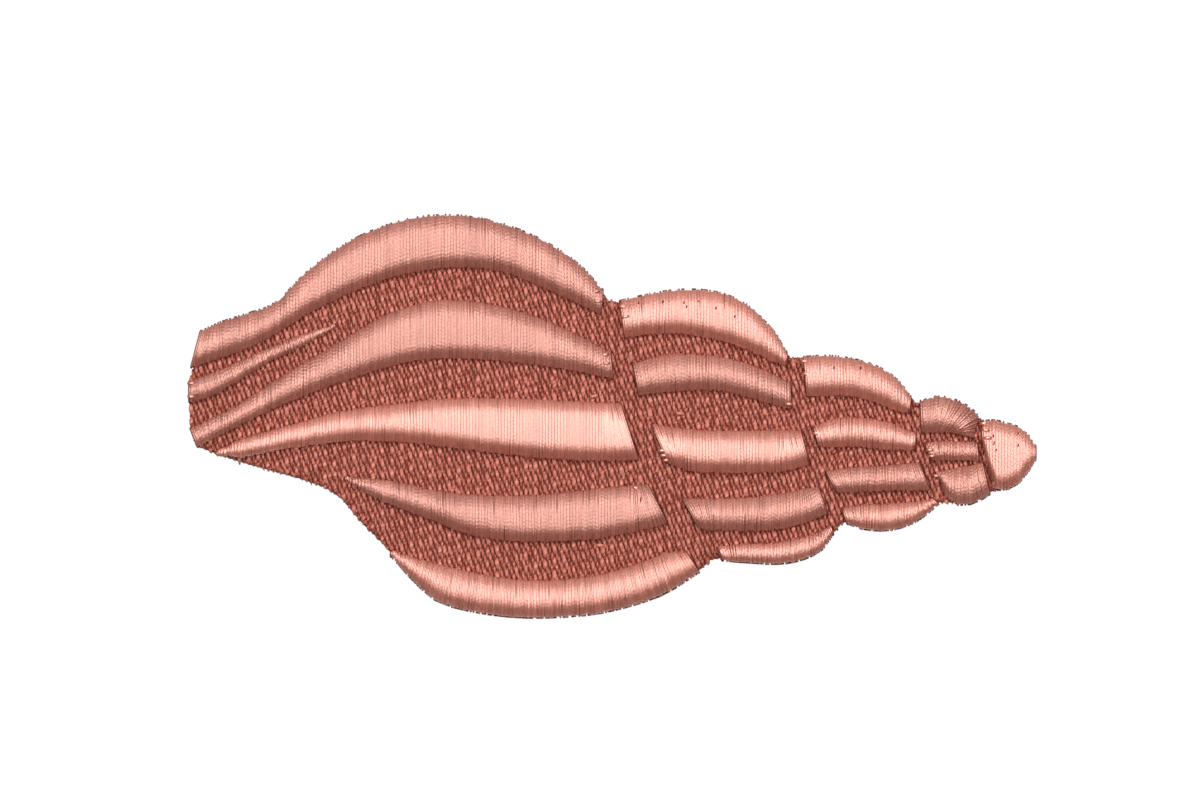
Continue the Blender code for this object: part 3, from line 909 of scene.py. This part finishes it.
def tatami_fill():
    """The fill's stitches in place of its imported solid, a piece for each whorl."""
    stitches = fill_stitches()
    whorls = whorl_of(np.column_stack([stitches[:, 0], (stitches[:, 1] + stitches[:, 2]) / 2]))
    tie_whorls = whorl_of(FILL_TIES)
    for whorl, name in enumerate(WHORL_FILLS):
        own = stitches[whorls == whorl]
        row, at_edge = own[:, 3], own[:, 4]
        proud = row % PROUD_ROW_EVERY == 0
        paths = fill_paths(own, proud)
        # The proud rows are painted paler: painted highlight
        tones = np.clip(RNG.normal(*FILL_TONE, len(paths)) + PROUD_PAINTED_HIGHLIGHT * proud, 0.0, 1.0)
        # Painted shade: the first and last stitches of a row are darker
        tones -= FILL_EDGE_PAINTED_SHADE * at_edge
        wider = RNG.normal(1.0, FILL_WIDTH_SPREAD, len(paths)) + PROUD_WIDER * proud
        threads = Threads()
        threads.add(paths, FILL_ARCH[:, 2] * wider[:, None], FILL_HALF_HEIGHT, tones)
        if (tie_whorls == whorl).any():
            fill_ties(threads, FILL_TIES[tie_whorls == whorl])
        obj = threads.to_object(name, FILL)
        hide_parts("tatami_fill")


def fill_underlay():
    """A thin bed of thread between the fill stitches and the cloth, on the fill's own outline, dark as
    painted shade between the stitches.
    """
    mesh = frame["nodes"]["tatami_fill"].data.copy()
    mesh.name = "fill_underlay"
    for vertex in mesh.vertices:
        over_bottom = vertex.co.z / MM - FILL_BOTTOM
        vertex.co.z = (CLOTH_TOP + UNDERLAY_LIFT + over_bottom * UNDERLAY_SHARE) * MM
    mesh.materials.clear()
    mesh.materials.append(SHADE_UNDERLAY)
    obj = placed("fill_underlay", mesh)
    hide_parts("tatami_fill")


def fill_bobbin():
    """The white lower thread of the fill: every second row's, rising into the cloth at its needle holes."""
    threads = Threads()
    for row, x, needles in fill_rows():
        if row % 2 == 0:
            middles = (needles[1:] + needles[:-1]) / 2
            ys = np.sort(np.concatenate([needles, middles]))
            heights = FILL_BOBBIN_HEIGHT + FILL_BOBBIN_RISE * (np.arange(len(ys)) % 2 == 0)
            path = np.column_stack([np.full(len(ys), x), ys, heights])[None]
            threads.add(path, BOBBIN_HALF_WIDTH, BOBBIN_HALF_HEIGHT, RNG.random(1), BACK_THREAD)
    obj = threads.to_object("fill_bobbin_thread", BOBBIN)


# Ground cloth

def weave_height(i, j):
    """Height of the cloth's back at this half yarn along X and Y: the yarns cross over and under in turn."""
    if i % 2 and j % 2:
        return CLOTH_BACK - YARN_RELIEF if (i // 2 + j // 2) % 2 else CLOTH_BACK + YARN_RELIEF
    if i % 2 or j % 2:
        return CLOTH_BACK
    return CLOTH_BACK + YARN_RELIEF


def woven_back(mesh, low_x, high_x):
    """The weave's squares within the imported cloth's outline. Their area in square metres is returned."""
    tree = solid_tree("ground_cloth")
    step = YARN_PITCH / 2
    corners = {}

    def corner(i, j):
        if (i, j) not in corners:
            corners[i, j] = mesh.verts.new((i * step * MM, j * step * MM, weave_height(i, j) * MM))
        return corners[i, j]

    area = 0.0
    for i in range(math.floor(low_x / step), math.ceil(high_x / step)):
        x = (i + 0.5) * step
        upper, lower = side_y(tree, x, CLOTH_TOP / 2, 1), side_y(tree, x, CLOTH_TOP / 2, -1)
        if upper is None:
            continue
        for j in range(math.ceil(lower / step - 0.5), math.floor(upper / step - 0.5) + 1):
            mesh.faces.new((corner(i, j), corner(i, j + 1), corner(i + 1, j + 1), corner(i + 1, j)))
            area += (step * MM) ** 2
    return area


def close_top(mesh):
    """The cloth's cut edge, raised from the rim of its back, and its flat upper face."""
    rim = [edge for edge in mesh.edges if edge.is_boundary]
    raised = bmesh.ops.extrude_edge_only(mesh, edges=rim)["geom"]
    for vertex in [part for part in raised if isinstance(part, bmesh.types.BMVert)]:
        vertex.co.z = CLOTH_TOP * MM
    top_rim = [part for part in raised if isinstance(part, bmesh.types.BMEdge) and part.is_boundary]
    bmesh.ops.triangle_fill(mesh, edges=top_rim, use_beauty=False, use_dissolve=False)
    bmesh.ops.recalc_face_normals(mesh, faces=mesh.faces)


def ground_cloth():
    """A plain weave, crossing by crossing on its back, cut yarn by yarn at its edge."""
    low, high = (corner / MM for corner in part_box("ground_cloth"))
    mesh = bmesh.new()
    area = woven_back(mesh, low.x, high.x)
    close_top(mesh)
    data = bpy.data.meshes.new("woven_ground_cloth")
    mesh.to_mesh(data)
    mesh.free()
    data.shade_smooth()
    data.set_sharp_from_angle(angle=math.radians(CLOTH_SHARP_DEGREES))
    data.materials.append(CLOTH)
    obj = placed("woven_ground_cloth", data)
    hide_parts("ground_cloth")
    size = (high - low) * MM
    return obj, (size.x, size.y), area


rib_ends = [satin_rib(name) for name in END_CUTS]
tatami_fill()
fill_underlay()
satin_bobbin(rib_ends)
fill_bobbin()
cloth, cloth_size, cloth_area = ground_cloth()


# Camera, floor and lights

def camera():
    data = bpy.data.cameras.new("camera")
    data.type = "ORTHO"
    data.ortho_scale = VIEW_WIDTH * MM
    data.clip_start, data.clip_end = CLIP_M
    obj = linked("camera", data)
    obj.location = (VIEW_CENTRE[0] * MM, VIEW_CENTRE[1] * MM, CAMERA_HEIGHT_M)
    bpy.context.scene.camera = obj


def floor():
    mesh = bpy.data.meshes.new("floor")
    corners = [(x * FLOOR_REACH_M, y * FLOOR_REACH_M, 0.0) for x, y in ((-1, -1), (1, -1), (1, 1), (-1, 1))]
    mesh.from_pydata(corners, [], [(0, 1, 2, 3)])
    obj = linked("floor", mesh)
    obj.location.z = -FLOOR_DROP_M
    material = new_material(
        "floor_white", Base_Color=(0.12, 0.12, 0.12, 1.0), Roughness=0.9, Specular_IOR_Level=0.0,
        Emission_Color=(1.0, 1.0, 1.0, 1.0), Emission_Strength=0.93,
    )[0]
    mesh.materials.append(material)


def area_light(name, location, size, watts):
    data = bpy.data.lights.new(name, "AREA")
    data.shape = "RECTANGLE"
    data.size, data.size_y = size
    data.energy = watts
    obj = linked(name, data)
    obj.location = location
    obj.rotation_euler = (-Vector(location)).to_track_quat("-Z", "Y").to_euler()


def world():
    made = bpy.data.worlds.new("studio")
    made.use_nodes = True
    background = made.node_tree.nodes["Background"]
    background.inputs["Color"].default_value = (1.0, 1.0, 1.0, 1.0)
    background.inputs["Strength"].default_value = WORLD_STRENGTH
    bpy.context.scene.world = made


camera()
floor()
for light, (place, size, watts) in LIGHTS.items():
    area_light(light, place, size, watts)
world()
bpy.context.scene.view_settings.view_transform = "Standard"
